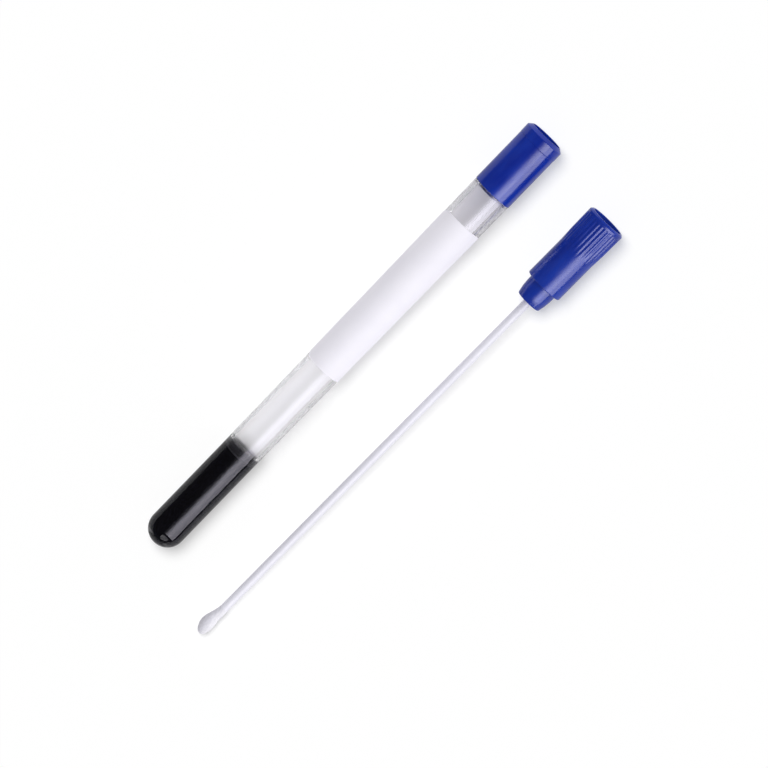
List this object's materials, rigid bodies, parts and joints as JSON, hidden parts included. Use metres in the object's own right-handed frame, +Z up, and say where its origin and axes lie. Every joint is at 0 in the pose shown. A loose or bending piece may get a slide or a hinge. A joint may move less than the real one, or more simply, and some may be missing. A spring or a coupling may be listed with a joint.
{
  "type": "specimen swab tube",
  "caption": "Clear round-bottomed specimen tube with gel medium, label and push-in cap, lying beside its swab with a ribbed hollow cap, thin stick and fibre bud.",
  "frame": {"origin": "under the middle of the whole kit, on the surface that it lies on", "axes": "+X towards the capped ends, along the kit; +Y from the swab towards the tube; +Z up"},
  "size_m": [0.1797, 0.0434, 0.0134],
  "materials": {
    "clear_plastic": "clear moulded polypropylene, glossy",
    "charcoal_gel": "wet black gel",
    "label_paper": "smooth white paper label",
    "blue_plastic": "satin moulded polyethylene",
    "blue_plastic_ribbed": "satin moulded polyethylene",
    "white_plastic": "smooth moulded polystyrene",
    "swab_fibre": "wound viscose fibre"
  },
  "bodies": {
    "tube_and_swab": {"tube": "clear_plastic", "medium": "charcoal_gel", "label": "label_paper", "swab_cap": "blue_plastic_ribbed", "swab_stick": "white_plastic", "swab_bud": "swab_fibre"},
    "cap": {"tube_cap": "blue_plastic"}
  },
  "joints": [
    {"name": "cap_pull", "type": "slide", "parent": "tube_and_swab", "child": "cap", "axis": [1, 0, 0.0054], "range_m": [0, 0.04]}
  ]
}
